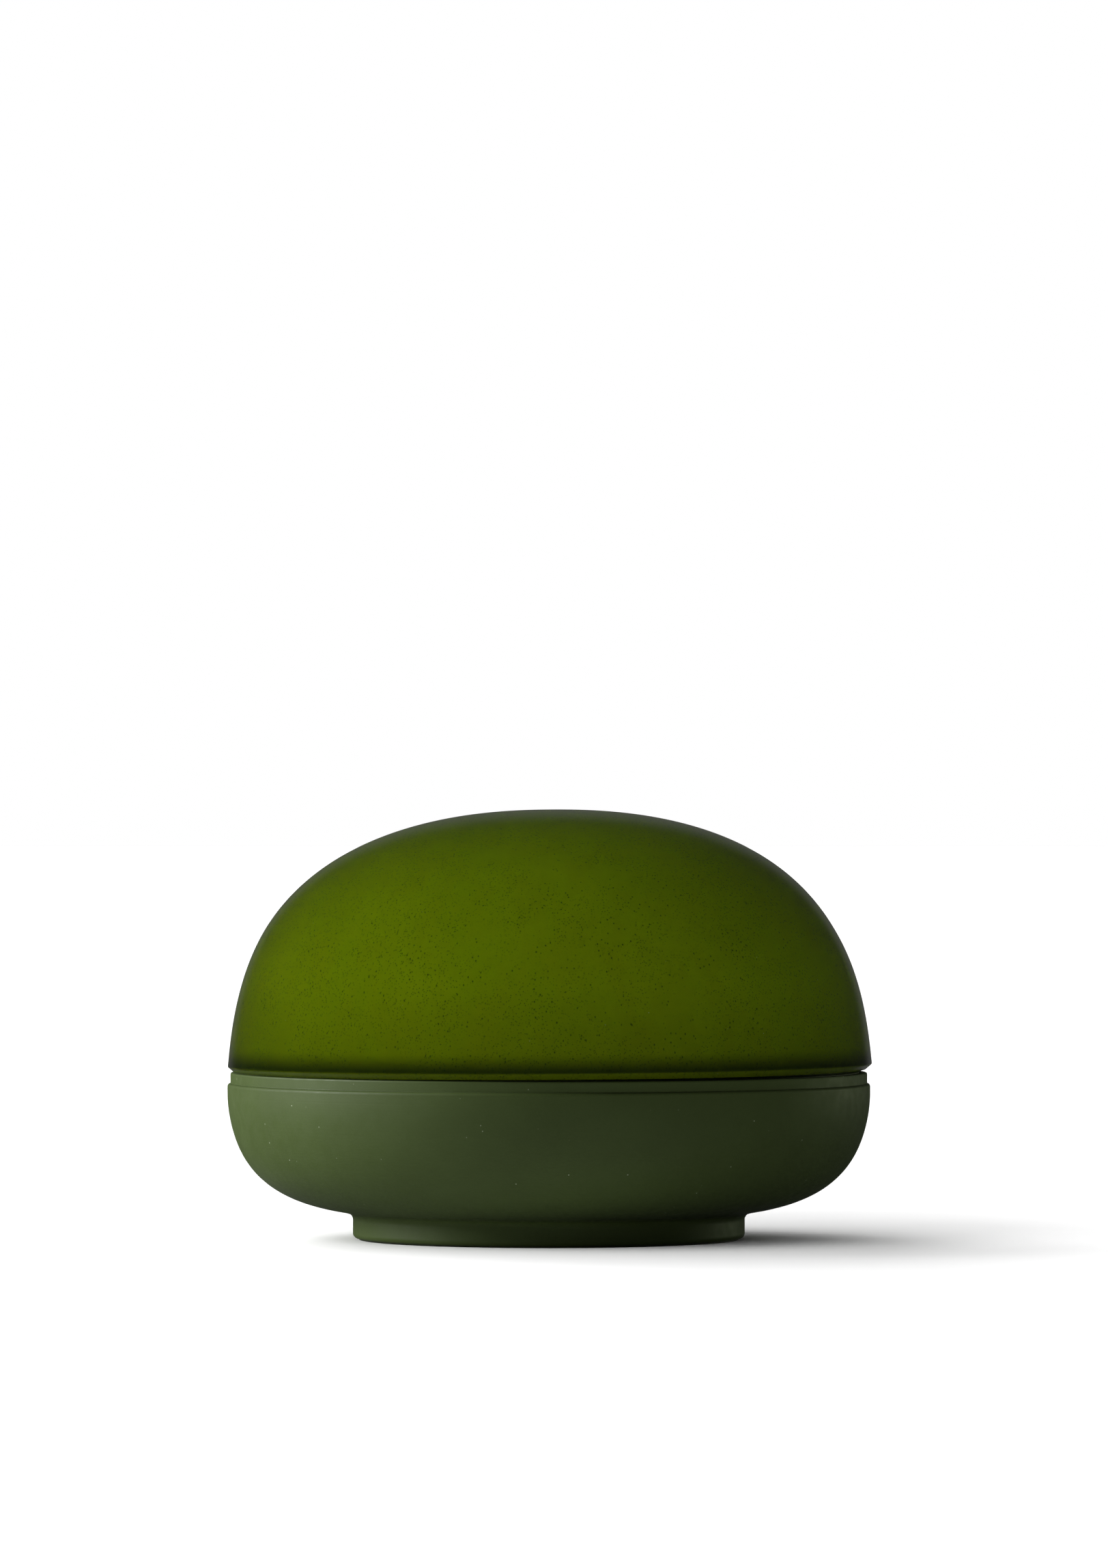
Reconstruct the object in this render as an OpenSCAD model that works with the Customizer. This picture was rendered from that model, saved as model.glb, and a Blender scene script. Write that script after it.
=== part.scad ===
// Cordless table lamp: a blown-glass dome on a soft-touch moulded bowl with a round foot.
// +Z is up. The origin is the middle of the foot, on the surface that the lamp stands on. Millimetres.

/* [Overall] */
// Outer diameter of the glass at its rim
lamp_d = 150; // [149:0.5:152]
// Overall height, from the table to the top of the glass
lamp_h = 100; // [92:1:112]

/* [Glass shade] */
// Wall of the glass at the rim
glass_t = 3.6; // [3.2:0.1:4]
// How much thinner the crown of the glass is than its rim
crown_thin = 0.4; // [0:0.1:1]
// Ground bevel on the outside of the rim
rim_bevel = 1.4; // [0.8:0.1:1.7]

/* [Base shell] */
// Wall of the moulded shell
shell_t = 2.4; // [2:0.1:2.6]
// Height of the top edge of the shell
shell_top = 38.9; // [38.5:0.1:39]
// Height of the shadow-gap step below the glass
step_z = 36.4; // [36:0.1:36.8]
// Depth of the shadow-gap step
step_in = 0.7; // [0.7:0.05:1]

/* [Foot] */
// Outer diameter of the foot
foot_d = 91.3; // [90:0.1:92]
// Radius on the bottom edge of the foot
foot_round = 1.2; // [0.6:0.1:1.3]
// How far the silicone foot ring stands out
pad_proud = 0.3; // [0.2:0.1:0.5]

/* [Light] */
// Outer diameter of the diffuser cap
diffuser_d = 96; // [90:1:100]
// Height of the diffuser cap above the deck
diffuser_h = 19; // [14:1:24]
// LEDs in the outer ring
led_count = 12; // [6:1:16]
// Radius of the outer ring of LEDs
led_ring_r = 21; // [18:0.5:22]

/* [Power] */
// Diameter of the battery cell (size 18650)
cell_d = 18.4; // [18:0.1:18.6]
// Length of the battery cell
cell_l = 65; // [64:0.5:65.5]
// Diameter of the power button
button_d = 12; // [10:0.5:12]
// Travel of the power button
button_travel = 0.5; // [0.3:0.1:0.7]

/* [Hidden] */
$fn = 96;
eps = 0.02;

// Colours
c_glass = [0.22, 0.34, 0.02, 0.55];
c_base = [0.10, 0.14, 0.06];
c_white = [0.93, 0.93, 0.90];
c_opal = [0.96, 0.95, 0.90];
c_silicone = [0.05, 0.065, 0.04];
c_pcb = [0.05, 0.27, 0.14];
c_steel = [0.72, 0.72, 0.74];
c_black = [0.07, 0.07, 0.08];
c_wrap = [0.10, 0.28, 0.52];

// Glass dome: (r / a)^p + ((z - z0) / b)^q = 1
lamp_r = lamp_d / 2;
dome_z0 = 2;
dome_p = 2.25;
dome_q = 4;
dome_b = lamp_h - dome_z0;
seat_z = shell_top + 0.3;             // bottom face of the glass
bevel_z = seat_z + rim_bevel;         // where the bevel meets the outer wall
function dome_share(z, b) = pow(1 - pow((z - dome_z0) / b, dome_q), 1 / dome_p);
dome_a = lamp_r / dome_share(bevel_z, dome_b);
dome_ai = dome_a - glass_t;
dome_bi = dome_b - glass_t + crown_thin;
function dome_u(z, b) = asin(pow((z - dome_z0) / b, dome_q / 2));
function dome_pt(a, b, u) = [a * pow(max(cos(u), 0), 2 / dome_p), dome_z0 + b * pow(sin(u), 2 / dome_q)];
function dome_curve(a, b, z, n) = [for (i = [0 : n - 1]) dome_pt(a, b, dome_u(z, b) + (90 - dome_u(z, b)) * i / n)];

// Bowl: ((r - c) / a)^n + ((zc - z) / b)^n = 1
bowl_n = 3.8;
bowl_c = 15.9;
bowl_zc = 51.1;
bowl_b = 45.8;
bowl_a = 59.5;
body_r = lamp_r - 0.15;               // widest radius of the shell
bowl_ai = bowl_a - shell_t + 0.4;
bowl_bi = bowl_b - shell_t;
function bowl_pt(a, b, u) = [bowl_c + a * pow(cos(u), 2 / bowl_n), bowl_zc - b * pow(sin(u), 2 / bowl_n)];
function bowl_u_at_r(a, r) = acos(pow((r - bowl_c) / a, bowl_n / 2));
function bowl_u_at_z(b, z) = asin(pow((bowl_zc - z) / b, bowl_n / 2));
function bowl_curve(a, b, u0, u1, n) = [for (i = [0 : n]) bowl_pt(a, b, u0 + (u1 - u0) * i / n)];
function arc(cx, cz, r, a0, a1, n) = [for (i = [0 : n]) [cx + r * cos(a0 + (a1 - a0) * i / n), cz + r * sin(a0 + (a1 - a0) * i / n)]];

foot_r = foot_d / 2;
recess_r = foot_r - 4.05;             // inside of the foot ring
recess_z = 3.6;                       // underside of the shell's floor
floor_z = 6;                          // inside of the shell's floor
neck_r = 1.6;
wall_in = body_r - 2.35;              // inside of the shell's mouth
pad_r0 = foot_r - 3.15;
pad_r1 = foot_r - 1.35;
band_r = body_r - step_in;

// Deck and what stands on it
deck_z0 = shell_top - 2.8;
deck_z1 = shell_top - 0.8;
deck_r = wall_in - 0.2;
spigot_r = wall_in - 3.1;
post_r = 38;
post_angles = [30, 150, 270];
boss_z = 9;
led_board_r = 32;
led_board_z = deck_z1;
led_board_t = 1.6;
lead_hole = [0, 27.5];
clip_r = diffuser_d / 2 - 2;
clip_angles = [0, 120, 240];
led_screw_angles = [30, 150, 270];
led_screw_r = 14;

// Control board, port and switch
board_z = 21;
board_t = 1.6;
board_x = 15;
board_y0 = -8;
board_y1 = 60;
tongue_x = 8;
tongue_y1 = 68;
board_holes = [[-11.5, -4.2], [11.5, -4.2], [-11.5, 55], [11.5, 55]];
port_w = 8.94;
port_h = 3.26;
port_l = 7.35;
port_y1 = 70.4;
port_z = board_z + board_t + port_h / 2;
pipe_x = 11;
button_r = button_d / 2;
collar_z = 10;

// Battery
cell_y = -19.5;
holder_z = 9;
holder_l = 74;
holder_w = 21;
cell_z = holder_z + 1.8 + cell_d / 2;
holder_bosses = [-20, 20];

function flip(p) = [for (i = [len(p) - 1 : -1 : 0]) p[i]];
module lathe(points) rotate_extrude($fn = 180) polygon(points);
module ring(r0, r1, z0, z1) translate([0, 0, z0]) difference() {
    cylinder(r = r1, h = z1 - z0);
    translate([0, 0, -1]) cylinder(r = r0, h = z1 - z0 + 2);
}
module polar(angles, r) for (a = angles) rotate([0, 0, a]) translate([r, 0, 0]) children();
module stadium(w, h) union() {
    square([w - h, h], center = true);
    for (s = [-1, 1]) translate([s * (w - h) / 2, 0]) circle(d = h, $fn = 48);
}
module box(x0, x1, y0, y1, z0, z1) translate([x0, y0, z0]) cube([x1 - x0, y1 - y0, z1 - z0]);

// Pan-head screw with its head's underside at the origin, the shank towards +Z and the head below it.
module pan_screw(d, l, head_d, head_h) difference() {
    union() {
        rotate_extrude($fn = 48) polygon(concat([[0, 0], [head_d / 2, 0], [head_d / 2, -head_h * 0.45]],
            arc(head_d / 2 - head_h * 0.55, -head_h * 0.45, head_h * 0.55, 0, -90, 5), [[0, -head_h]]));
        translate([0, 0, -eps]) cylinder(d = d, h = l - d * 0.4 + eps, $fn = 32);
        translate([0, 0, l - d * 0.4]) cylinder(d1 = d, d2 = d * 0.45, h = d * 0.4, $fn = 32);
    }
    // cross recess
    for (a = [0, 90]) rotate([0, 0, a]) box(-head_d * 0.27, head_d * 0.27, -head_d * 0.06, head_d * 0.06, -head_h - 1, -head_h * 0.45);
}

// Round tube along a list of points, closed at both ends.
function unit(v) = v / norm(v);
function heading(p, i) = unit(p[min(i + 1, len(p) - 1)] - p[max(i - 1, 0)]);
function across(t) = unit(cross(t, abs(t[0]) < 0.8 ? [1, 0, 0] : [0, 1, 0]));
module tube(p, r, sides = 8) {
    m = len(p);
    pts = [for (i = [0 : m - 1]) let (t = heading(p, i), a = across(t), b = cross(t, a))
           for (k = [0 : sides - 1]) p[i] + r * (cos(360 * k / sides) * a + sin(360 * k / sides) * b)];
    sides_f = [for (i = [0 : m - 2]) for (k = [0 : sides - 1]) let (k1 = (k + 1) % sides)
               each [[i * sides + k, (i + 1) * sides + k, (i + 1) * sides + k1], [i * sides + k, (i + 1) * sides + k1, i * sides + k1]]];
    ends = [for (k = [1 : sides - 2]) each [[0, k, k + 1], [(m - 1) * sides, (m - 1) * sides + k + 1, (m - 1) * sides + k]]];
    polyhedron(points = pts, faces = concat(sides_f, ends), convexity = 4);
}
// Smooth curve through hand-set points.
function cr(a, b, c, d, t) = 0.5 * ((2 * b) + (c - a) * t + (2 * a - 5 * b + 4 * c - d) * t * t + (3 * b - a - 3 * c + d) * t * t * t);
function smooth_path(p, k) = concat([for (i = [0 : len(p) - 2]) for (j = [0 : k - 1])
    cr(p[max(i - 1, 0)], p[i], p[i + 1], p[min(i + 2, len(p) - 1)], j / k)], [p[len(p) - 1]]);

// ---------- Shade ----------
module glass_shade() color(c_glass)
    lathe(concat(
        [[dome_ai * dome_share(seat_z, dome_bi), seat_z], [lamp_r - rim_bevel - 0.15, seat_z]],
        arc(lamp_r - rim_bevel - 0.15, seat_z + 0.35, 0.35, -90, -45, 3),
        arc(lamp_r - 0.5, bevel_z + 0.1, 0.5, -45, 0, 4),
        dome_curve(dome_a, dome_b, bevel_z + 0.6, 56),
        [[0, lamp_h], [0, dome_z0 + dome_bi]],
        flip(dome_curve(dome_ai, dome_bi, seat_z + 1, 48))));

// L-section silicone ring: the flat leg carries the glass, the upright leg centres it.
module shade_seat_ring() color(c_silicone)
    lathe([[spigot_r + 0.05, deck_z1], [deck_r, deck_z1], [deck_r, seat_z - 0.15], [deck_r - 0.15, seat_z - 0.02],
           [spigot_r + 1.55, seat_z - 0.02], [spigot_r + 1.45, seat_z + 0.15], [spigot_r + 1.45, seat_z + 1.9],
           [spigot_r + 0.9, seat_z + 2.9], [spigot_r + 0.05, seat_z + 2.9]]);

// ---------- Base ----------
// Large arc that straightens the bowl's curve into the upright side below the step.
blend_u = bowl_u_at_r(bowl_a, body_r - 0.55);
blend_pt = bowl_pt(bowl_a, bowl_b, blend_u);
blend_near = bowl_pt(bowl_a, bowl_b, blend_u - 0.5);
blend_dir = atan(abs((blend_pt[0] - blend_near[0]) / (blend_pt[1] - blend_near[1])));
blend_r = (body_r - blend_pt[0]) / (1 - cos(blend_dir));
shell_outside = concat(
    [[0, recess_z], [recess_r - 0.5, recess_z], [recess_r, recess_z - 0.5], [recess_r, pad_proud + 0.4], [recess_r + 0.4, pad_proud],
     [pad_r0 - 0.1, pad_proud], [pad_r0 - 0.1, pad_proud + 0.6], [pad_r1 + 0.1, pad_proud + 0.6], [pad_r1 + 0.1, pad_proud]],
    arc(foot_r - foot_round, pad_proud + foot_round, foot_round, -88, 0, 8),
    arc(foot_r + neck_r, 4.6, neck_r, 180, 100, 8),
    bowl_curve(bowl_a, bowl_b, bowl_u_at_r(bowl_a, foot_r + 2.5), blend_u, 44),
    arc(body_r - blend_r, blend_pt[1] + blend_r * sin(blend_dir), blend_r, 1 - blend_dir, 0, 9),
    arc(body_r - 0.75, step_z - 0.75, 0.75, 0, 85, 7),
    arc(band_r + 0.12, step_z + 0.12, 0.12, 270, 180, 3),
    [[band_r, shell_top - 0.35], [band_r - 0.1, shell_top - 0.1], [band_r - 0.35, shell_top]]);
shell_inside = concat(
    [[wall_in + 0.1, shell_top], [wall_in, shell_top - 0.15], [wall_in, 33]],
    [for (i = [0 : 36]) bowl_pt(bowl_ai, bowl_bi, bowl_u_at_z(bowl_bi, 30.5) + (bowl_u_at_r(bowl_ai, foot_r + 2.5) - bowl_u_at_z(bowl_bi, 30.5)) * i / 36)],
    [[43.5, 8.1], [40.6, floor_z], [0, floor_z]]);

module port_cut() {
    translate([0, 60, port_z]) rotate([-90, 0, 0]) linear_extrude(height = 30) stadium(13, 7);
    translate([pipe_x, 60, port_z]) rotate([-90, 0, 0]) cylinder(d = 2.1, h = 30, $fn = 32);
}

module base_shell() color(c_base) difference() {
    union() {
        lathe(concat(shell_outside, shell_inside));
        // bosses that the deck's posts stand on
        polar(post_angles, post_r) translate([0, 0, floor_z - 1]) cylinder(d = 8, h = boss_z - floor_z + 1, $fn = 48);
        // standoffs under the control board
        for (p = board_holes) translate([p[0], p[1], p[1] > 20 ? 9.8 : floor_z - 1])
            cylinder(d = 5.5, h = board_z - (p[1] > 20 ? 9.8 : floor_z - 1), $fn = 40);
        // bosses under the battery holder
        for (x = holder_bosses) translate([x, cell_y, floor_z - 1]) cylinder(d = 7, h = holder_z - floor_z + 1, $fn = 40);
        // collar that guides the button
        ring(button_r + 0.2, button_r + 2, floor_z - 1, collar_z);
        // ribs under the rim of the deck
        for (a = [0 : 60 : 300]) rotate([0, 0, a]) box(wall_in - 3.3, wall_in + 0.5, -1, 1, 27, deck_z0);
    }
    polar(post_angles, post_r) {
        translate([0, 0, recess_z - 1]) cylinder(d = 6.4, h = 3.2, $fn = 48);
        translate([0, 0, recess_z]) cylinder(d = 3.4, h = 10, $fn = 32);
    }
    for (p = board_holes) translate([p[0], p[1], board_z - 7]) cylinder(d = 1.8, h = 8, $fn = 24);
    for (x = holder_bosses) translate([x, cell_y, 5.2]) cylinder(d = 1.8, h = 6, $fn = 24);
    translate([0, 0, recess_z - 1]) cylinder(r = button_r + 0.2, h = 4, $fn = 64);
    port_cut();
}

module foot_ring_pad() color(c_silicone)
    lathe([[pad_r0 + 0.15, 0], [pad_r1 - 0.15, 0], [pad_r1, 0.15], [pad_r1, pad_proud + 0.6], [pad_r0, pad_proud + 0.6], [pad_r0, 0.15]]);

// ---------- Deck and light ----------
module deck_plate() color(c_white) difference() {
    union() {
        lathe([[0, deck_z0], [deck_r, deck_z0], [deck_r, deck_z1], [spigot_r, deck_z1], [spigot_r, shell_top + 3.6],
               [spigot_r - 0.5, shell_top + 4.1], [spigot_r - 1.5, shell_top + 4.1], [spigot_r - 2, shell_top + 3.6],
               [spigot_r - 2, deck_z1 + 0.8], [spigot_r - 2.8, deck_z1], [0, deck_z1]]);
        polar(post_angles, post_r) translate([0, 0, boss_z]) cylinder(d = 7, h = deck_z0 - boss_z + 0.5, $fn = 48);
        polar(led_screw_angles, led_screw_r) translate([0, 0, deck_z0 - 5]) cylinder(d = 5, h = 5.5, $fn = 40);
        ring(diffuser_d / 2 + 0.4, diffuser_d / 2 + 1.6, deck_z1 - 0.5, deck_z1 + 1);
    }
    polar(post_angles, post_r) translate([0, 0, boss_z - 1]) cylinder(d = 3, h = 15, $fn = 32);
    polar(led_screw_angles, led_screw_r) translate([0, 0, deck_z0 - 5.5]) cylinder(d = 1.8, h = 10, $fn = 24);
    translate([lead_hole[0], lead_hole[1], deck_z0 - 1]) cylinder(d = 6, h = 4, $fn = 40);
    for (a = clip_angles) rotate([0, 0, a - 6]) translate([0, 0, deck_z0 - 1])
        rotate_extrude(angle = 12, $fn = 96) translate([clip_r - 1.6, 0]) square([3.2, 4]);
}

module deck_screws() color(c_steel)
    polar(post_angles, post_r) translate([0, 0, recess_z + 2.2]) pan_screw(2.9, 16, 5.6, 2);

module diffuser_cap() color(c_opal) union() {
    h = diffuser_h;
    r = diffuser_d / 2;
    lathe(concat(
        [[r - 1.8, deck_z1], [r, deck_z1]],
        [for (i = [0 : 28]) let (u = 90 * i / 29) [r * pow(cos(u), 0.85), deck_z1 + 1.5 + (h - 1.5) * pow(sin(u), 0.85)]],
        [[0, deck_z1 + h], [0, deck_z1 + h - 1.8]],
        [for (i = [28 : -1 : 0]) let (u = 90 * i / 29) [(r - 1.8) * pow(cos(u), 0.85), deck_z1 + 1.5 + (h - 3.3) * pow(sin(u), 0.85)]]));
    // snap clips
    for (a = clip_angles) rotate([0, 0, a - 5]) rotate_extrude(angle = 10, $fn = 96)
        polygon([[clip_r + 0.4, deck_z1 + 1.1], [clip_r + 0.4, deck_z0 - 1.6], [clip_r + 0.7, deck_z0 - 1.6], [clip_r + 1.9, deck_z0 - 0.1],
                 [clip_r + 1.4, deck_z0 - 0.1], [clip_r + 1.4, deck_z1 + 1.1]]);
}

module led_board() color(c_white) difference() {
    translate([0, 0, led_board_z]) cylinder(r = led_board_r, h = led_board_t, $fn = 120);
    translate([lead_hole[0], lead_hole[1], led_board_z - 1]) cylinder(d = 5, h = 4, $fn = 40);
    polar(led_screw_angles, led_screw_r) translate([0, 0, led_board_z - 1]) cylinder(d = 2.3, h = 4, $fn = 24);
}

module one_led(z) {
    difference() {
        translate([-1.75, -1.4, z]) cube([3.5, 2.8, 0.8]);
        translate([-1.35, -1.05, z + 0.45]) cube([2.7, 2.1, 1]);
    }
    translate([-1.35, -1.05, z + 0.45]) cube([2.7, 2.1, 0.25]);
}
module leds() color(c_opal) {
    for (i = [0 : led_count - 1]) rotate([0, 0, 360 * (i + 0.5) / led_count]) translate([led_ring_r, 0, 0]) one_led(led_board_z + led_board_t);
    for (i = [0 : 3]) rotate([0, 0, 45 + 90 * i]) translate([7, 0, 0]) one_led(led_board_z + led_board_t);
}

module led_board_screws() color(c_steel)
    polar(led_screw_angles, led_screw_r) translate([0, 0, led_board_z + led_board_t]) mirror([0, 0, 1]) pan_screw(1.7, 7, 3.6, 1.3);

// ---------- Control board ----------
module control_board() color(c_pcb) difference() {
    union() {
        box(-board_x, board_x, board_y0, board_y1, board_z, board_z + board_t);
        box(-tongue_x, tongue_x, board_y1 - 1, tongue_y1, board_z, board_z + board_t);
        box(tongue_x - 1, board_x, board_y1 - 1, 64.5, board_z, board_z + board_t);
    }
    for (p = board_holes) translate([p[0], p[1], board_z - 1]) cylinder(d = 2.3, h = 4, $fn = 24);
    // pads for the port's legs
    for (s = [-1, 1]) for (y = [64.4, 66.9]) translate([s * 4.9, y, board_z - 1]) cylinder(d = 0.7, h = 4, $fn = 16);
}

module chip(x, y, w, d, h) box(x - w / 2, x + w / 2, y - d / 2, y + d / 2, board_z + board_t, board_z + board_t + h);
module board_chips() color(c_black) {
    chip(0, 52, 4, 4, 0.9);        // battery charger
    chip(-6, 36, 4.9, 3.9, 1.5);   // LED driver
    chip(6, 33, 5, 4.4, 1);        // microcontroller
    chip(-8, 46, 2.9, 1.6, 1.1);   // cell protection
    for (y = [46, 49, 52]) chip(7, y, 2, 1.25, 0.9);
    for (x = [-9, -6, -3]) chip(x, 28, 1.6, 0.8, 0.7);
    for (x = [2, 5, 8]) chip(x, 27, 1.6, 0.8, 0.7);
    for (y = [56, 58]) chip(-4, y, 1.6, 0.8, 0.7);
}
module board_inductor() color([0.25, 0.25, 0.27]) translate([-6, 18, board_z + board_t]) difference() {
    intersection() {
        translate([-3, -3, 0]) cube([6, 6, 2.8]);
        cylinder(r = 3.7, h = 3, $fn = 64);
    }
    translate([0, 0, 2.4]) cylinder(r = 2.1, h = 2, $fn = 48);
}
// Wire-to-board sockets: two circuits each.
module socket2(x, y) translate([x, y, board_z + board_t]) difference() {
    translate([-3.95, -2.4, 0]) cube([7.9, 4.8, 6]);
    translate([-3.2, -1.7, 1]) cube([6.4, 3.4, 6]);
    translate([-1, -3, 3]) cube([2, 1.6, 4]);
}
module board_connectors() color(c_white) {
    socket2(7, 2);
    socket2(7, 18);
    // pins
    for (y = [2, 18]) for (x = [6, 8]) translate([x - 0.25, y - 0.25, board_z + board_t + 1]) cube([0.5, 0.5, 3.2]);
}
module control_board_screws() color(c_steel)
    for (p = board_holes) translate([p[0], p[1], board_z + board_t]) mirror([0, 0, 1]) pan_screw(1.7, 7, 3.6, 1.3);

module usb_port_shell() color(c_steel) {
    translate([0, port_y1 - port_l, port_z]) rotate([-90, 0, 0]) difference() {
        linear_extrude(height = port_l) stadium(port_w, port_h);
        translate([0, 0, 0.8]) linear_extrude(height = port_l) stadium(port_w - 0.6, port_h - 0.6);
    }
}
module usb_port_tongue() color(c_black)
    translate([0, port_y1 - port_l + 0.8, port_z]) rotate([-90, 0, 0]) {
        linear_extrude(height = 1.2) stadium(port_w - 0.6, port_h - 0.6);
        translate([-3.345, -0.35, 1]) cube([6.69, 0.7, 4.65]);
    }

module status_led() color(c_opal) {
    box(pipe_x - 0.8, pipe_x + 0.8, 63.2, 64.4, board_z + board_t, board_z + board_t + 2.2);
}
module light_pipe() color([0.9, 0.93, 0.95, 0.5]) translate([pipe_x, 0, port_z]) rotate([-90, 0, 0]) {
    translate([0, 0, 64.6]) cylinder(d = 2, h = 7.5, $fn = 32);
    translate([0, 0, 67.6]) cylinder(d = 3.4, h = 1, $fn = 32);
}

// ---------- Button ----------
module switch_body() color(c_black) difference() {
    union() {
        box(-3, 3, -3, 3, board_z - 3.5, board_z);
        for (x = [-2.25, 2.25]) for (s = [-1, 1]) box(x - 0.35, x + 0.35, s > 0 ? 2.9 : -4, s > 0 ? 4 : -2.9, board_z - 0.3, board_z);
    }
    translate([0, 0, board_z - 4]) cylinder(r = 1.8, h = 1.6 + button_travel + 0.3, $fn = 32);
}
module switch_plunger() color(c_white) translate([0, 0, board_z - 4.8]) cylinder(r = 1.6, h = 2.4, $fn = 32);
module power_button() color(c_base) {
    lathe(concat(
        [[0, recess_z - 0.45], [1.8, recess_z - 0.5], [3.4, recess_z - 0.62], [button_r - 1.1, recess_z - 0.8]],
        arc(button_r - 0.5, recess_z - 0.3, 0.5, -90, 0, 4),
        [[button_r, collar_z + 0.05], [button_r + 1.2, collar_z + 0.05], [button_r + 1.2, collar_z + 1.25], [2.5, collar_z + 1.25],
         [2.5, board_z - 4.8], [0, board_z - 4.8]]));
}

// ---------- Battery ----------
module battery_cell() color(c_wrap) translate([-cell_l / 2, cell_y, cell_z]) rotate([0, 90, 0])
    rotate_extrude($fn = 120) polygon(concat(
        [[0, 0.2], [6.8, 0.2], [6.8, 0]], arc(cell_d / 2 - 0.7, 0.7, 0.7, -90, 0, 4),
        [[cell_d / 2, cell_l - 4.2], [cell_d / 2 - 0.25, cell_l - 3.7], [cell_d / 2 - 0.25, cell_l - 3.3], [cell_d / 2, cell_l - 2.8]],
        arc(cell_d / 2 - 0.7, cell_l - 1.1, 0.7, 0, 90, 4),
        [[6.9, cell_l - 0.4], [6.9, cell_l - 1], [4.4, cell_l - 1], [4.2, cell_l], [0, cell_l]]));

module battery_holder() color(c_black) difference() {
    union() {
        // tray
        box(-holder_l / 2, holder_l / 2, cell_y - holder_w / 2, cell_y + holder_w / 2, holder_z, holder_z + 10.5);
        // end walls
        for (s = [-1, 1]) box(s > 0 ? holder_l / 2 - 1.8 : -holder_l / 2, s > 0 ? holder_l / 2 : -holder_l / 2 + 1.8,
                              cell_y - holder_w / 2, cell_y + holder_w / 2, holder_z, holder_z + 20.1);
        // clip fingers
        for (x = [-16, 16]) box(x - 4, x + 4, cell_y - holder_w / 2, cell_y + holder_w / 2, holder_z, holder_z + 15.5);
    }
    translate([-holder_l / 2 + 1.8, cell_y, cell_z]) rotate([0, 90, 0]) cylinder(d = cell_d + 0.4, h = holder_l - 3.6, $fn = 96);
    box(-holder_l / 2 + 1.8, holder_l / 2 - 1.8, cell_y - 8.2, cell_y + 8.2, cell_z, holder_z + 30);
    // screw holes in the floor of the tray
    for (x = holder_bosses) translate([x, cell_y, holder_z - 1]) cylinder(d = 2.3, h = 6, $fn = 24);
    for (x = holder_bosses) translate([x, cell_y, holder_z + 0.35]) cylinder(d = 4.2, h = 4, $fn = 32);
    // slots for the contacts
    for (s = [-1, 1]) box(s > 0 ? holder_l / 2 - 2.6 : -holder_l / 2 + 1.7, s > 0 ? holder_l / 2 - 1.7 : -holder_l / 2 + 2.6,
                          cell_y - 5.5, cell_y + 5.5, holder_z + 1.4, holder_z + 30);
}
contact_in = holder_l / 2 - 1.8;
module battery_contact_plate() color(c_steel)
    difference() {
        union() {
            box(contact_in - 0.4, contact_in, cell_y - 5, cell_y + 5, holder_z + 1.9, holder_z + 20.5);
            box(contact_in - 0.4, contact_in + 3.6, cell_y - 1.5, cell_y + 1.5, holder_z + 20.1, holder_z + 20.5);
            // dimple that touches the cell
            translate([cell_l / 2, cell_y, cell_z]) rotate([0, 90, 0]) cylinder(r1 = 2, r2 = 3, h = contact_in - cell_l / 2 - 0.3, $fn = 40);
        }
        translate([contact_in + 2.3, cell_y, holder_z + 19]) cylinder(d = 1, h = 3, $fn = 20);
    }
module battery_contact_spring() color(c_steel) {
    mirror([1, 0, 0]) difference() {
        union() {
            box(contact_in - 0.4, contact_in, cell_y - 5, cell_y + 5, holder_z + 1.9, holder_z + 20.5);
            box(contact_in - 0.4, contact_in + 3.6, cell_y - 1.5, cell_y + 1.5, holder_z + 20.1, holder_z + 20.5);
        }
        translate([contact_in + 2.3, cell_y, holder_z + 19]) cylinder(d = 1, h = 3, $fn = 20);
    }
    // conical coil, three turns
    free = contact_in - 0.4 - cell_l / 2;
    tube([for (i = [0 : 54]) let (t = i / 54, a = 1080 * t, r = 4.4 - 1.9 * t)
          [-contact_in + 0.4 + 0.35 + (free - 0.7) * t, cell_y + r * cos(a), cell_z + r * sin(a)]], 0.35, 8);
}
module battery_holder_screws() color(c_steel)
    for (x = holder_bosses) translate([x, cell_y, holder_z + 0.35]) mirror([0, 0, 1]) pan_screw(1.7, 3.9, 3.6, 1.2);

// ---------- Leads ----------
lead_r = 0.65;
battery_lead_a = [[37.4, -19.5, 30.3], [38.6, -17.5, 31.2], [36, -10, 31.8], [27, -3, 31.5], [17, 1, 30.8], [10.5, 2, 30.3], [8.1, 2, 28.8], [8, 2, 27]];
battery_lead_b = [[-37.4, -19.5, 30.3], [-38.4, -16, 31.2], [-34, -6, 32], [-20, 1.5, 32], [-6, 3.5, 31.8], [3.4, 2.6, 30.8], [5.9, 2, 28.9], [6, 2, 27]];
led_lead_a = [[6, 18, 27], [6, 18.2, 29], [4.2, 20.8, 31], [0.2, 25, 32], [-1, 27.5, 34], [-1, 27.5, 37], [-1, 27.3, 39.6], [-1, 26.2, 41.1], [-1.2, 24.4, 41.2], [-1.2, 23, 40.5]];
led_lead_b = [[8, 18, 27], [8, 18.2, 29], [6.8, 21.5, 31.4], [3, 26, 32.4], [1, 27.5, 34.4], [1, 27.5, 37], [1, 27.3, 39.6], [1, 26.2, 41.1], [1.2, 24.4, 41.2], [1.2, 23, 40.5]];
module battery_leads() {
    color([0.7, 0.05, 0.05]) tube(smooth_path(battery_lead_a, 4), lead_r);
    color(c_black) tube(smooth_path(battery_lead_b, 4), lead_r);
}
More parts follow.
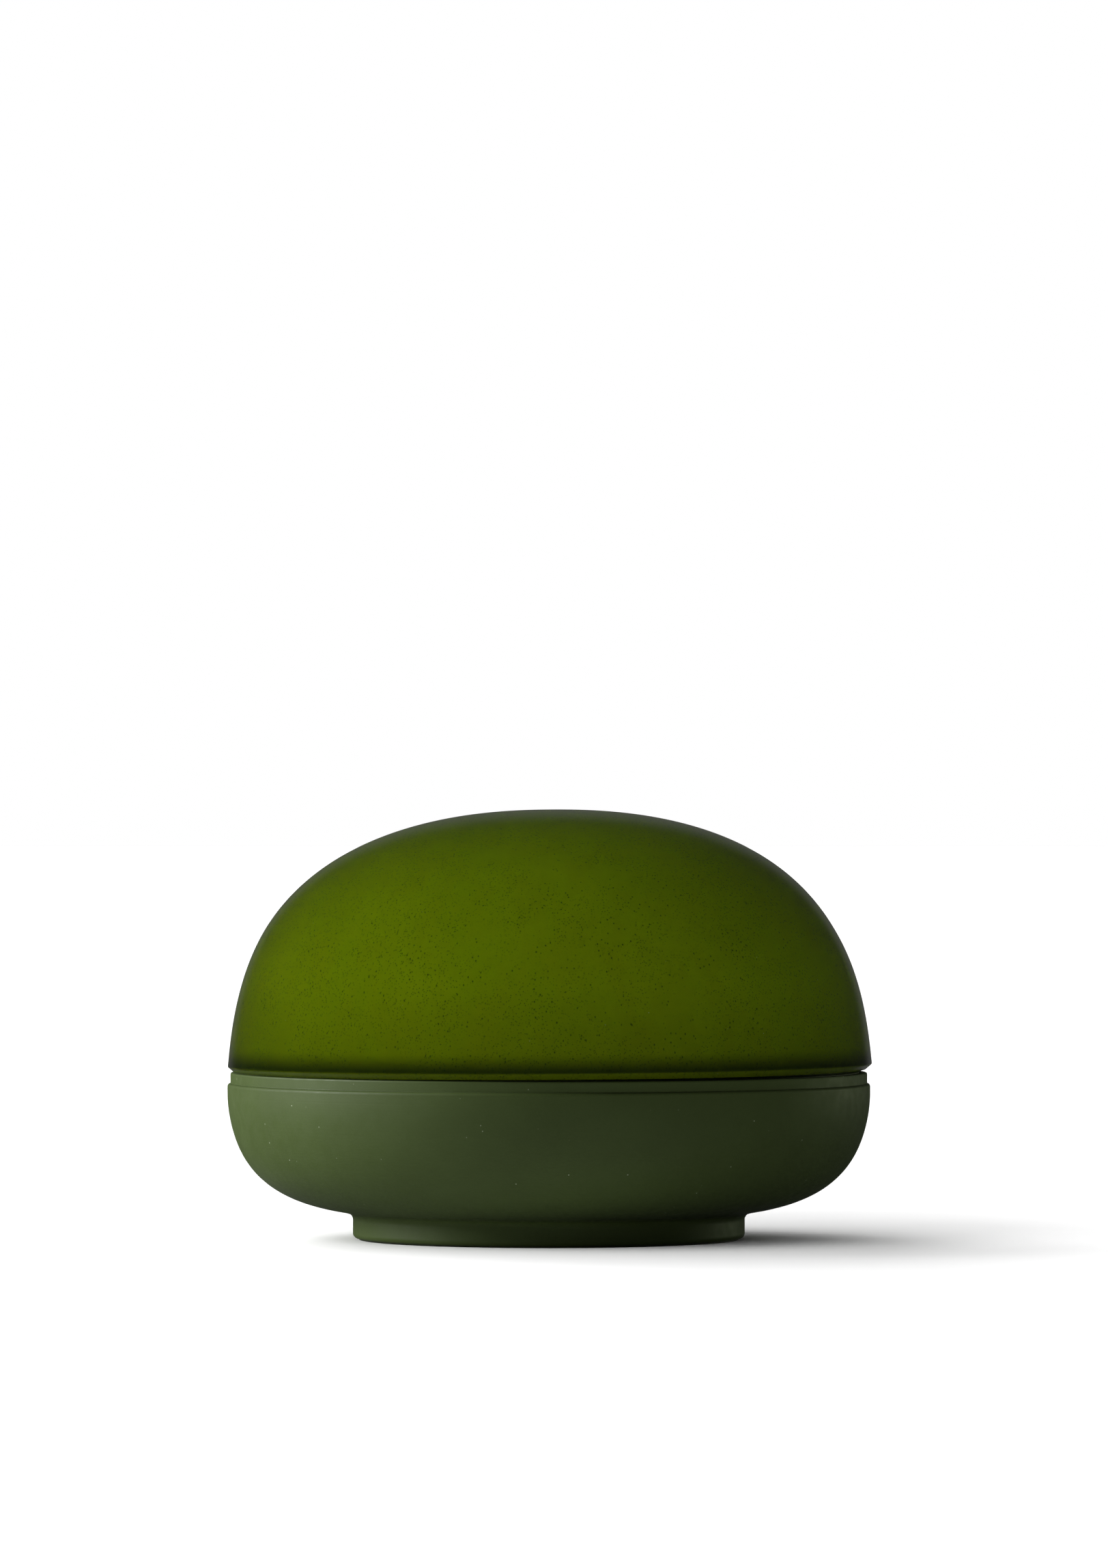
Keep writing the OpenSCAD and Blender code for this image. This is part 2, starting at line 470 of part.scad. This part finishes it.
module led_leads() {
    color([0.7, 0.05, 0.05]) tube(smooth_path(led_lead_a, 4), lead_r);
    color(c_black) tube(smooth_path(led_lead_b, 4), lead_r);
}

glass_shade();
shade_seat_ring();
base_shell();
foot_ring_pad();
deck_plate();
deck_screws();
diffuser_cap();
led_board();
leds();
led_board_screws();
control_board();
board_chips();
board_inductor();
board_connectors();
control_board_screws();
usb_port_shell();
usb_port_tongue();
status_led();
light_pipe();
switch_body();
switch_plunger();
power_button();
battery_cell();
battery_holder();
battery_contact_plate();
battery_contact_spring();
battery_holder_screws();
battery_leads();
led_leads();
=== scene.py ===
import math

import bpy
import bmesh
from mathutils import Matrix, Vector


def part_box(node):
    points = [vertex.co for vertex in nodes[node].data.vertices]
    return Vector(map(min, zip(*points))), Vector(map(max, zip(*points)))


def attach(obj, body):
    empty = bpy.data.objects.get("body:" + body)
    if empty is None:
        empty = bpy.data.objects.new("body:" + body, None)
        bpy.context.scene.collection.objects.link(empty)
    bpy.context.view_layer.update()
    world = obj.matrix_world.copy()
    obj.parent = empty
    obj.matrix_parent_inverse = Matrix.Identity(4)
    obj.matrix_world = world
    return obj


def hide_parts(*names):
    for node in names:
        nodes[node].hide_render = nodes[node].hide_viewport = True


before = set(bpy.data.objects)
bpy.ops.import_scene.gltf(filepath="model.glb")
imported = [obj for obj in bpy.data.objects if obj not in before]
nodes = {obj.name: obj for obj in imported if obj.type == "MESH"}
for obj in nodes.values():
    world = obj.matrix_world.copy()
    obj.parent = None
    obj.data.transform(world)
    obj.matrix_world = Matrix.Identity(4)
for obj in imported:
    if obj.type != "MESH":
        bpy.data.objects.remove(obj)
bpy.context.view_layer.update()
MM = 0.001

# ------------------------------------------------------------------ camera
# Level camera in front of the lamp, a little right of its axis.
CAM_D = 2.25
SPAN = 0.36522  # height of the picture at the lamp's axis
cam_data = bpy.data.cameras.new("camera")
cam_data.sensor_width = 36
cam_data.lens = 36 * CAM_D / SPAN
cam_data.clip_start, cam_data.clip_end = 0.05, 60
cam = bpy.data.objects.new("camera", cam_data)
cam.location = (0.0012, -CAM_D, 0.1060)
cam.rotation_euler = (math.radians(90), 0, 0)
bpy.context.scene.collection.objects.link(cam)
bpy.context.scene.camera = cam
bpy.context.scene.view_settings.view_transform = "Standard"
bpy.context.scene.view_settings.look = "None"


# ------------------------------------------------------------------ node helpers
class Mat:
    """A material with one Principled shader and a few helpers for its procedural inputs."""

    def __init__(self, name, **values):
        self.m = bpy.data.materials.new(name)
        self.m.use_nodes = True
        self.t = self.m.node_tree
        self.t.nodes.clear()
        self.out = self.t.nodes.new("ShaderNodeOutputMaterial")
        self.p = self.t.nodes.new("ShaderNodeBsdfPrincipled")
        self.t.links.new(self.p.outputs[0], self.out.inputs["Surface"])
        for k, v in values.items():
            self.p.inputs[k.replace("_", " ")].default_value = v
        self._co = None
        self.normal = None

    def node(self, kind, **props):
        n = self.t.nodes.new(kind)
        for k, v in props.items():
            setattr(n, k, v)
        return n

    def put(self, value, socket):
        if value is None:
            return
        if isinstance(value, bpy.types.NodeSocket):
            self.t.links.new(value, socket)
        elif isinstance(value, (tuple, list)) and len(value) == 3 and socket.type == "RGBA":
            socket.default_value = (*value, 1)
        else:
            socket.default_value = value

    @property
    def co(self):
        if self._co is None:
            self._co = self.node("ShaderNodeTexCoord").outputs["Object"]
        return self._co

    def mapped(self, scale=(1, 1, 1), loc=(0, 0, 0), rot=(0, 0, 0)):
        n = self.node("ShaderNodeMapping")
        self.put(self.co, n.inputs["Vector"])
        n.inputs["Scale"].default_value = scale
        n.inputs["Location"].default_value = loc
        n.inputs["Rotation"].default_value = rot
        return n.outputs[0]

    def noise(self, size_mm, detail=3.0, rough=0.5, co=None, distortion=0.0, color=False):
        n = self.node("ShaderNodeTexNoise")
        self.put(co or self.co, n.inputs["Vector"])
        n.inputs["Scale"].default_value = 1 / (size_mm * MM)
        n.inputs["Detail"].default_value = detail
        n.inputs["Roughness"].default_value = rough
        n.inputs["Distortion"].default_value = distortion
        return n.outputs["Color" if color else "Fac"]

    def cells(self, size_mm, feature="F1", out="Distance", randomness=1.0, co=None):
        n = self.node("ShaderNodeTexVoronoi", feature=feature)
        self.put(co or self.co, n.inputs["Vector"])
        n.inputs["Scale"].default_value = 1 / (size_mm * MM)
        n.inputs["Randomness"].default_value = randomness
        return n.outputs[out]

    def ramp(self, value, lo, hi, a=0.0, b=1.0, smooth=True):
        n = self.node("ShaderNodeMapRange", interpolation_type="SMOOTHSTEP" if smooth else "LINEAR")
        self.put(value, n.inputs["Value"])
        n.inputs["From Min"].default_value = lo
        n.inputs["From Max"].default_value = hi
        n.inputs["To Min"].default_value = a
        n.inputs["To Max"].default_value = b
        return n.outputs["Result"]

    def math(self, op, a, b=0.0, c=None):
        n = self.node("ShaderNodeMath", operation=op)
        self.put(a, n.inputs[0])
        self.put(b, n.inputs[1])
        if c is not None:
            self.put(c, n.inputs[2])
        return n.outputs[0]

    def xyz(self, co=None):
        n = self.node("ShaderNodeSeparateXYZ")
        self.put(co or self.co, n.inputs[0])
        return n.outputs

    def mix(self, fac, a, b, blend="MIX"):
        n = self.node("ShaderNodeMix", data_type="RGBA", blend_type=blend)
        n.inputs[0].default_value = 0.5
        self.put(fac, n.inputs[0])
        self.put(a, n.inputs[6])
        self.put(b, n.inputs[7])
        return n.outputs[2]

    def bump(self, height, distance_mm, strength=1.0):
        n = self.node("ShaderNodeBump")
        n.inputs["Strength"].default_value = strength
        n.inputs["Distance"].default_value = distance_mm * MM
        self.put(height, n.inputs["Height"])
        if self.normal is not None:
            self.put(self.normal, n.inputs["Normal"])
        self.normal = n.outputs[0]
        self.put(self.normal, self.p.inputs["Normal"])
        return self

    def color(self, value):
        self.put(value, self.p.inputs["Base Color"])
        return self

    def rough(self, value):
        self.put(value, self.p.inputs["Roughness"])
        return self


def assign(obj, mat):
    obj.data.materials.clear()
    obj.data.materials.append(mat.m)


# ------------------------------------------------------------------ green glass
def shade_profile():
    """(r, z, inner) round the section of the glass, in mm: rim, bevel, outer wall, crown, inner wall."""
    lo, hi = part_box("glass_shade")
    rim_z, top_z = lo.z / MM, hi.z / MM
    lamp_r, z0, p, q = 75.0, 2.0, 2.25, 4.0
    bevel, t, thin = 1.4, 3.6, 0.4
    b = top_z - z0
    bz = rim_z + bevel
    a = lamp_r / (1 - ((bz - z0) / b) ** q) ** (1 / p)
    ai, bi = a - t, b - t + thin

    def curve(a, b, zs, n):
        u0 = math.asin(((zs - z0) / b) ** (q / 2))
        pts = []
        for i in range(n):
            s = i / n
            u = u0 + (math.pi / 2 - u0) * (1 - (1 - s) ** 1.15)
            pts.append((a * math.cos(u) ** (2 / p), z0 + b * math.sin(u) ** (2 / q)))
        return pts

    def arc(cx, cz, r, a0, a1, n):
        return [(cx + r * math.cos(math.radians(a0 + (a1 - a0) * i / n)), cz + r * math.sin(math.radians(a0 + (a1 - a0) * i / n))) for i in range(n + 1)]

    ri = ai * (1 - ((rim_z - z0) / bi) ** q) ** (1 / p)
    bottom = [(ri + 0.32, rim_z + 0.06), (ri + 0.6, rim_z), (ri + 1.1, rim_z), (lamp_r - bevel - 0.5, rim_z)]
    bottom += arc(lamp_r - bevel - 0.2, rim_z + 0.3, 0.3, -90, -45, 4)
    x0, z1 = bottom[-1]
    x2, z2 = arc(lamp_r - 0.5, bz + 0.1, 0.5, -45, 0, 5)[0]
    bottom += [(x0 + (x2 - x0) * s, z1 + (z2 - z1) * s) for s in (0.33, 0.66)]
    bottom += arc(lamp_r - 0.5, bz + 0.1, 0.5, -45, 0, 5)
    pts = [(r, z, 0) for r, z in bottom]
    pts += [(r, z, 0) for r, z in curve(a, b, bz + 0.7, 90)] + [(0, top_z, 0)]
    inner = curve(ai, bi, rim_z + 0.35, 80)
    pts += [(0, z0 + bi, 1)] + [(r, z, 1) for r, z in reversed(inner)]
    return pts


def lathe(name, profile, n, wobble=None):
    """Closed lathe mesh round Z from (r, z, inner) points in mm. Points with r = 0 become poles."""
    verts, faces, inner = [], [], []
    rings = []
    for r, z, w in profile:
        if r == 0:
            rings.append([len(verts)])
            verts.append(((wobble(0, z, 0)[0] if wobble else 0) * MM, 0, z * MM))
            inner.append(w)
        else:
            ring = []
            for k in range(n):
                th = 2 * math.pi * k / n
                rr, zz, tt = wobble(r, z, th) if wobble else (r, z, th)
                ring.append(len(verts))
                verts.append((rr * math.cos(tt) * MM, rr * math.sin(tt) * MM, zz * MM))
                inner.append(w)
            rings.append(ring)
    m = len(rings)
    for i in range(m):
        a, b = rings[i], rings[(i + 1) % m]
        if len(a) == 1 and len(b) == 1:
            continue
        for k in range(n):
            k1 = (k + 1) % n
            if len(a) == 1:
                faces.append((a[0], b[k1], b[k]))
            elif len(b) == 1:
                faces.append((a[k], a[k1], b[0]))
            else:
                faces.append((a[k], a[k1], b[k1], b[k]))
    mesh = bpy.data.meshes.new(name)
    mesh.from_pydata(verts, [], faces)
    mesh.update()
    bm = bmesh.new()
    bm.from_mesh(mesh)
    bmesh.ops.recalc_face_normals(bm, faces=bm.faces)
    bm.to_mesh(mesh)
    bm.free()
    mesh.polygons.foreach_set("use_smooth", [True] * len(mesh.polygons))
    att = mesh.attributes.new("inner", "FLOAT", "POINT")
    att.data.foreach_set("value", [float(w) for w in inner])
    low = min(z for r, z, w in profile)
    height = [z - low for r, z, w in profile for k in range(1 if r == 0 else n)]
    att = mesh.attributes.new("rim_height", "FLOAT", "POINT")
    att.data.foreach_set("value", height)
    obj = bpy.data.objects.new(name, mesh)
    bpy.context.scene.collection.objects.link(obj)
    return obj


TILT = math.radians(0.30)
TILT_LIFT = 0.08
TILT_SHIFT = 0.25


def shade_wobble(r, z, th):
    """Hand-blown irregularity, and the way the dome sits a little crooked on its seat."""
    lean = 0.55 * max(0.0, (z - 72) / 20) ** 1.3
    h = max(0.0, min(1.0, (z - 44) / 20))
    fade = h * (1 if z < 90 else max(0.0, (100 - z) / 10))
    dr = 0.10 * fade * math.cos(2 * th + 0.6) + 0.06 * fade * math.cos(3 * th + z * 0.11) + 0.03 * fade * math.cos(5 * th + 1.3 - z * 0.07)
    x, y = (r + dr) * math.cos(th) + lean, (r + dr) * math.sin(th)
    return math.hypot(x, y), z + 0.05 * fade * math.cos(th + 2.1), math.atan2(y, x)


shade = lathe("green_glass_dome", shade_profile(), 320, shade_wobble)
turn = Matrix.Translation((0, 0, 0.039)) @ Matrix.Rotation(-TILT, 4, "Y") @ Matrix.Translation((0, 0, -0.039))
shade.data.transform(Matrix.Translation((TILT_SHIFT * MM, 0, TILT_LIFT * MM)) @ turn)
shade.data.update()

g = Mat("green_glass", Transmission_Weight=0.72, IOR=1.45, Coat_Weight=0.7, Coat_Roughness=0.05, Coat_IOR=1.5, Subsurface_Weight=1.0, Subsurface_Scale=0.005, Subsurface_Radius=(1.0, 1.15, 0.12))
inside_wall = g.node("ShaderNodeAttribute", attribute_name="inner").outputs["Fac"]
rim_h = g.node("ShaderNodeAttribute", attribute_name="rim_height").outputs["Fac"]
# seeds and pits in the glass: small cells, kept only where a broad noise allows
stretch = g.mapped(scale=(1.0, 1.0, 0.7))
pit = g.math("MULTIPLY", g.ramp(g.cells(1.10, co=stretch), 0.09, 0.24, 1, 0), g.ramp(g.noise(7, 3), 0.36, 0.56))
fine = g.math("MULTIPLY", g.ramp(g.cells(0.62), 0.12, 0.36, 1, 0), g.ramp(g.noise(12, 3), 0.30, 0.54))
specks = g.math("MULTIPLY", g.math("MAXIMUM", pit, g.math("MULTIPLY", fine, 0.85)), g.math("SUBTRACT", 1, inside_wall))
dust = g.math("MULTIPLY", g.math("MULTIPLY", g.ramp(g.cells(4.3), 0.022, 0.040, 1, 0), g.ramp(g.noise(11, 2), 0.44, 0.58)), g.math("SUBTRACT", 1, inside_wall))
cloud = g.noise(26, 3, 0.55)
streak = g.noise(7, 4, 0.6, co=g.mapped(scale=(1, 1, 0.35)))
tint = g.mix(g.ramp(cloud, 0.3, 0.7), (0.225, 0.310, 0.0015), (0.262, 0.345, 0.0022))
tint = g.mix(g.ramp(streak, 0.35, 0.7), tint, (0.240, 0.305, 0.0015))
tint = g.mix(g.math("MULTIPLY", specks, 0.95), tint, (0.012, 0.028, 0.001))
tint = g.mix(g.math("MULTIPLY", dust, 0.8), tint, (0.62, 0.70, 0.42))
# the cloudy inside gives more of the light back, and ends a little above the rim
tint = g.mix(inside_wall, tint, (0.44, 0.60, 0.003))
# painted shade: the glass darkens towards the rim, the same all round
tint = g.mix(g.ramp(rim_h, 2.0, 21.0, 0.30, 0, smooth=False), tint, (0.020, 0.040, 0.001))
rim_band = g.math("MULTIPLY", g.ramp(rim_h, 1.9, 5.6, 1, 0, smooth=False), g.ramp(rim_h, 1.2, 1.6, 0.30, 1))
tint = g.mix(g.math("MULTIPLY", rim_band, 0.90), tint, (0.018, 0.034, 0.003))
g.color(tint)
g.rough(g.mix(inside_wall, (0.30, 0.30, 0.30), (0.62, 0.62, 0.62)))
g.bump(g.math("SUBTRACT", 1, specks), 0.05, 0.7)
g.bump(g.noise(2.2, 2, 0.45), 0.02, 0.55)
assign(shade, g)
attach(shade, "shade")
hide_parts("glass_shade")


# ------------------------------------------------------------------ plastics, metals, boards
def soft_touch(name):
    m = Mat(name, Sheen_Weight=0.02, Sheen_Roughness=0.4, Specular_IOR_Level=0.16)
    cloud = m.noise(22, 4, 0.6)
    fine = m.noise(0.35, 2, 0.6)
    base = m.mix(m.ramp(cloud, 0.3, 0.7), (0.0455, 0.068, 0.0165), (0.0505, 0.0755, 0.019))
    base = m.mix(m.ramp(fine, 0.35, 0.7, 0, 0.35), base, (0.039, 0.059, 0.013))
    dust = m.math("MULTIPLY", m.ramp(m.cells(2.6), 0.035, 0.075, 1, 0), m.ramp(m.noise(6, 2), 0.52, 0.62))
    base = m.mix(m.math("MULTIPLY", dust, 0.55), base, (0.42, 0.47, 0.34))
    m.color(base)
    m.rough(m.ramp(m.noise(3, 3), 0.3, 0.7, 0.50, 0.60))
    m.bump(m.noise(0.22, 2, 0.6), 0.02, 0.35)
    m.bump(m.noise(30, 2, 0.5), 0.15, 0.10)
    return m


def plastic(name, a, b, rough=0.4, grain=0.25, bump=0.02, strength=0.3, **kw):
    m = Mat(name, **kw)
    m.color(m.mix(m.ramp(m.noise(12, 4), 0.3, 0.7), a, b))
    m.rough(m.ramp(m.noise(4, 3), 0.3, 0.7, rough - 0.05, rough + 0.07))
    m.bump(m.noise(grain, 2, 0.6), bump, strength)
    return m


def metal(name, a, b, rough=0.3):
    m = Mat(name, Metallic=1.0)
    m.color(m.mix(m.ramp(m.noise(1.5, 4), 0.3, 0.7), a, b))
    m.rough(m.ramp(m.noise(0.5, 4, 0.7), 0.3, 0.7, rough - 0.08, rough + 0.12))
    m.bump(m.noise(0.12, 3, 0.6), 0.01, 0.3)
    return m


def solder_mask(name, a, b, copper):
    m = Mat(name, Coat_Weight=0.5, Coat_Roughness=0.12)
    x, y, z = m.xyz()
    # copper tracks seen through the mask
    grid = m.math("LESS_THAN", m.math("ABSOLUTE", m.math("SUBTRACT", m.math("FRACT", m.math("MULTIPLY", m.math("ADD", x, m.math("MULTIPLY", m.noise(9, 0), 0.006)), 420)), 0.5)), 0.17)
    grid2 = m.math("LESS_THAN", m.math("ABSOLUTE", m.math("SUBTRACT", m.math("FRACT", m.math("MULTIPLY", m.math("ADD", y, m.math("MULTIPLY", m.noise(8, 0), 0.006)), 330)), 0.5)), 0.15)
    where = m.math("GREATER_THAN", m.cells(6.5, out="Distance"), 0.42)
    tracks = m.math("MULTIPLY", m.math("MAXIMUM", m.math("MULTIPLY", grid, where), m.math("MULTIPLY", grid2, m.math("SUBTRACT", 1, where))), 0.7)
    base = m.mix(m.ramp(m.noise(10, 3), 0.3, 0.7), a, b)
    m.color(m.mix(tracks, base, copper))
    m.rough(m.ramp(m.noise(2, 3), 0.3, 0.7, 0.28, 0.4))
    m.bump(tracks, 0.03, 0.5)
    m.bump(m.noise(0.3, 2), 0.008, 0.3)
    return m


green_soft = soft_touch("soft_touch_green")
silicone = plastic("silicone", (0.026, 0.034, 0.018), (0.034, 0.044, 0.024), 0.66, 0.3, 0.02, 0.3, Specular_IOR_Level=0.3)
white = plastic("white_plastic", (0.83, 0.83, 0.79), (0.88, 0.88, 0.85), 0.42)
opal = plastic("opal_plastic", (0.88, 0.87, 0.81), (0.92, 0.91, 0.86), 0.38, 0.3, 0.015, 0.3, Subsurface_Weight=0.3, Subsurface_Scale=0.004)
black = plastic("black_plastic", (0.022, 0.022, 0.025), (0.035, 0.035, 0.038), 0.5, 0.2, 0.02, 0.4)
ferrite = plastic("ferrite", (0.10, 0.10, 0.11), (0.16, 0.16, 0.17), 0.6, 0.15, 0.03, 0.5)
clear = plastic("clear_plastic", (0.86, 0.9, 0.9), (0.9, 0.93, 0.93), 0.12, 0.5, 0.01, 0.2, Transmission_Weight=0.85, IOR=1.49)
steel = metal("zinc_steel", (0.56, 0.56, 0.58), (0.66, 0.66, 0.68), 0.3)
nickel = metal("nickel", (0.62, 0.60, 0.55), (0.70, 0.68, 0.63), 0.24)
board_white = solder_mask("white_solder_mask", (0.82, 0.83, 0.80), (0.87, 0.88, 0.85), (0.74, 0.75, 0.70))
board_green = solder_mask("green_solder_mask", (0.016, 0.12, 0.05), (0.02, 0.15, 0.062), (0.05, 0.24, 0.11))
wrap = plastic("cell_wrap", (0.035, 0.13, 0.33), (0.045, 0.155, 0.38), 0.22, 3.0, 0.06, 0.25, Coat_Weight=0.4, Coat_Roughness=0.1)

phosphor = Mat("led_phosphor", Coat_Weight=0.6, Coat_Roughness=0.08, Subsurface_Weight=0.3, Subsurface_Scale=0.0006)
zz = phosphor.xyz()[2]
phosphor.color(phosphor.mix(phosphor.ramp(phosphor.noise(0.2, 3), 0.35, 0.65), (0.86, 0.66, 0.16), (0.92, 0.76, 0.26)))
phosphor.rough(phosphor.ramp(phosphor.noise(0.3, 2), 0.3, 0.7, 0.25, 0.4))
phosphor.bump(phosphor.noise(0.25, 2), 0.01, 0.3)


def leads(name, split):
    """Two PVC-insulated leads, red and black, told apart by where they run."""
    m = Mat(name, Coat_Weight=0.25, Coat_Roughness=0.2)
    x, y, z = m.xyz()
    red = split(m, x, y, z)
    dark = m.mix(m.ramp(m.noise(2, 3), 0.3, 0.7), (0.018, 0.018, 0.02), (0.03, 0.03, 0.033))
    bright = m.mix(m.ramp(m.noise(2, 3), 0.3, 0.7), (0.42, 0.018, 0.014), (0.52, 0.026, 0.02))
    m.color(m.mix(red, dark, bright))
    m.rough(m.ramp(m.noise(1, 3), 0.3, 0.7, 0.3, 0.42))
    m.bump(m.noise(0.3, 2), 0.01, 0.3)
    return m


battery_pvc = leads("battery_lead_pvc", lambda m, x, y, z: m.math("GREATER_THAN", x, 0.0070))
led_pvc = leads("led_lead_pvc", lambda m, x, y, z: m.math(
    "ADD",
    m.math("MULTIPLY", m.math("GREATER_THAN", z, 0.0332), m.math("LESS_THAN", x, 0)),
    m.math("MULTIPLY", m.math("LESS_THAN", z, 0.0332), m.math("LESS_THAN", m.math("ADD", x, m.math("MULTIPLY", m.math("SUBTRACT", y, 0.018), 0.75)), 0.0074))))

for node, mat in {
    "base_shell": green_soft, "power_button": green_soft, "shade_seat_ring": silicone, "foot_ring_pad": silicone,
    "deck_plate": white, "deck_screws": steel, "diffuser_cap": opal, "led_board": board_white, "leds": phosphor,
    "led_board_screws": steel, "control_board": board_green, "board_chips": black, "board_inductor": ferrite,
    "board_connectors": white, "control_board_screws": steel, "usb_port_shell": nickel, "usb_port_tongue": black,
    "status_led": phosphor, "light_pipe": clear, "switch_body": black, "switch_plunger": white, "battery_cell": wrap,
    "battery_holder": black, "battery_contact_plate": nickel, "battery_contact_spring": nickel,
    "battery_holder_screws": steel, "battery_leads": battery_pvc, "led_leads": led_pvc, "glass_shade": g,
}.items():
    assign(nodes[node], mat)


# ------------------------------------------------------------------ floor, background and light
def stage_material(name, color, rough=0.9):
    m = Mat(name)
    m.color(m.mix(m.ramp(m.noise(60, 3), 0.3, 0.7), color, tuple(c * 0.985 for c in color)))
    m.p.inputs["Roughness"].default_value = rough
    m.p.inputs["Specular IOR Level"].default_value = 0.0
    return m


floor_mesh = bpy.data.meshes.new("floor")
R = 14.0
floor_mesh.from_pydata([(R * math.cos(math.tau * k / 96), R * math.sin(math.tau * k / 96), 0) for k in range(96)], [], [list(range(96))])
floor = bpy.data.objects.new("floor", floor_mesh)
bpy.context.scene.collection.objects.link(floor)
assign(floor, stage_material("floor_white", (0.88, 0.88, 0.88)))
floor.visible_diffuse = floor.visible_glossy = floor.visible_transmission = False
# what the lamp itself sees of the floor: the same plane, with a softer bounce
bounce = bpy.data.objects.new("floor_bounce", floor_mesh.copy())
bounce.location.z = -0.0004
bpy.context.scene.collection.objects.link(bounce)
assign(bounce, stage_material("floor_bounce", (0.86, 0.86, 0.86)))
bounce.visible_camera = bounce.visible_glossy = False
floor.visible_shadow = False

world = bpy.data.worlds.new("studio")
bpy.context.scene.world = world
world.use_nodes = True
wt = world.node_tree
wt.nodes.clear()


def wnode(kind, **props):
    n = wt.nodes.new(kind)
    for k, v in props.items():
        setattr(n, k, v)
    return n


def background(strength):
    n = wnode("ShaderNodeBackground")
    n.inputs[0].default_value = (1, 1, 1, 1)
    if isinstance(strength, bpy.types.NodeSocket):
        wt.links.new(strength, n.inputs[1])
    else:
        n.inputs[1].default_value = strength
    return n.outputs[0]


def either(fac, a, b):
    n = wnode("ShaderNodeMixShader")
    wt.links.new(fac, n.inputs[0])
    wt.links.new(a, n.inputs[1])
    wt.links.new(b, n.inputs[2])
    return n.outputs[0]


path = wnode("ShaderNodeLightPath")
direction = wnode("ShaderNodeSeparateXYZ")
wt.links.new(wnode("ShaderNodeTexCoord").outputs["Generated"], direction.inputs[0])
# the white backdrop stands only behind the lamp, so only grazing reflections meet it
behind = wnode("ShaderNodeMapRange", interpolation_type="SMOOTHSTEP")
wt.links.new(direction.outputs["Y"], behind.inputs["Value"])
for k, v in (("From Min", 0.88), ("From Max", 0.99), ("To Min", 0.012), ("To Max", 0.09)):
    behind.inputs[k].default_value = v
out = wnode("ShaderNodeOutputWorld")
inside = either(path.outputs["Is Transmission Ray"], background(behind.outputs["Result"]), background(0.22))
ambient = either(path.outputs["Is Diffuse Ray"], inside, background(0.160))
wt.links.new(either(path.outputs["Is Camera Ray"], ambient, background(1.0)), out.inputs[0])


def link(light, lit=None, blockers=None):
    """Limit what a light falls on, and what it is blocked by."""
    for objects, role in ((lit, "receiver_collection"), (blockers, "blocker_collection")):
        if objects is not None:
            group = bpy.data.collections.new(light.name + "_" + role)
            for x in objects:
                group.objects.link(x)
            setattr(light.light_linking, role, group)


def softbox(name, loc, target, size, power, glossy=False, color=(1, 1, 1)):
    d = bpy.data.lights.new(name, "AREA")
    d.shape = "RECTANGLE"
    d.size, d.size_y = size
    d.energy = power
    d.color = color
    o = bpy.data.objects.new(name, d)
    o.location = loc
    o.rotation_euler = (Vector(target) - Vector(loc)).to_track_quat("-Z", "Y").to_euler()
    o.visible_glossy = glossy
    o.visible_transmission = o.visible_camera = False
    bpy.context.scene.collection.objects.link(o)
    return o


# One big soft box on the left. It is drawn three times, because the satin glass takes
# less of it than the plastic does, and what stands inside the glass less again.
inner = [nodes[n] for n in ("deck_plate", "deck_screws", "diffuser_cap", "led_board", "leds", "led_board_screws", "led_leads")]
lamp = [o for n, o in nodes.items() if n != "glass_shade"]
outer = [o for o in lamp if o not in inner]
KEY = ((-1.40, 0.05, 0.62), (0, 0, 0.05), (0.75, 0.75))
link(softbox("key_left", *KEY, 45, glossy=True), outer + inner + [bounce])
link(softbox("key_left_glass", (-1.20, 0.05, 1.00), *KEY[1:], 10.3, color=(0.84, 1, 1)), [shade], lamp)
link(softbox("key_left_inside", *KEY, 3), inner, lamp)
link(softbox("fill_glass", (-0.82, -1.23, 0.16), (0, 0, 0.05), (0.9, 0.5), 7.5, color=(1.08, 1, 1)), [shade], lamp)
link(softbox("rim_right", (1.18, 0.85, 0.13), (0, 0, 0.03), (0.3, 0.4), 1.9, glossy=True, color=(0.95, 1.1, 0.7)), outer)

# light that falls on the floor only, low from the left and from behind
for name, az, el, spread, level in (
        ("wash_back_low", 115, 14, 44, 0.16), ("wash_back", 115, 30, 44, 0.18), ("wash_back_left", 135, 45, 44, 0.10),
        ("wash_left", 155, 30, 44, 0.15), ("wash_left_low", 182, 14, 30, 0.09), ("wash_front_left", 215, 30, 44, 0.18),
        ("wash_front_low", 235, 14, 44, 0.15),
        ("wash_front", 255, 14, 44, 0.14), ("bounce_front", 245, 45, 30, 0.11)):
    d = bpy.data.lights.new(name, "SUN")
    d.energy = level * math.pi / 0.88 / math.sin(math.radians(el))
    d.angle = math.radians(spread)
    o = bpy.data.objects.new(name, d)
    toward = Vector((math.cos(math.radians(az)) * math.cos(math.radians(el)), math.sin(math.radians(az)) * math.cos(math.radians(el)), math.sin(math.radians(el))))
    o.rotation_euler = (-toward).to_track_quat("-Z", "Y").to_euler()
    o.visible_glossy = o.visible_transmission = False
    bpy.context.scene.collection.objects.link(o)
    link(o, [bounce] if name == "bounce_front" else [floor])
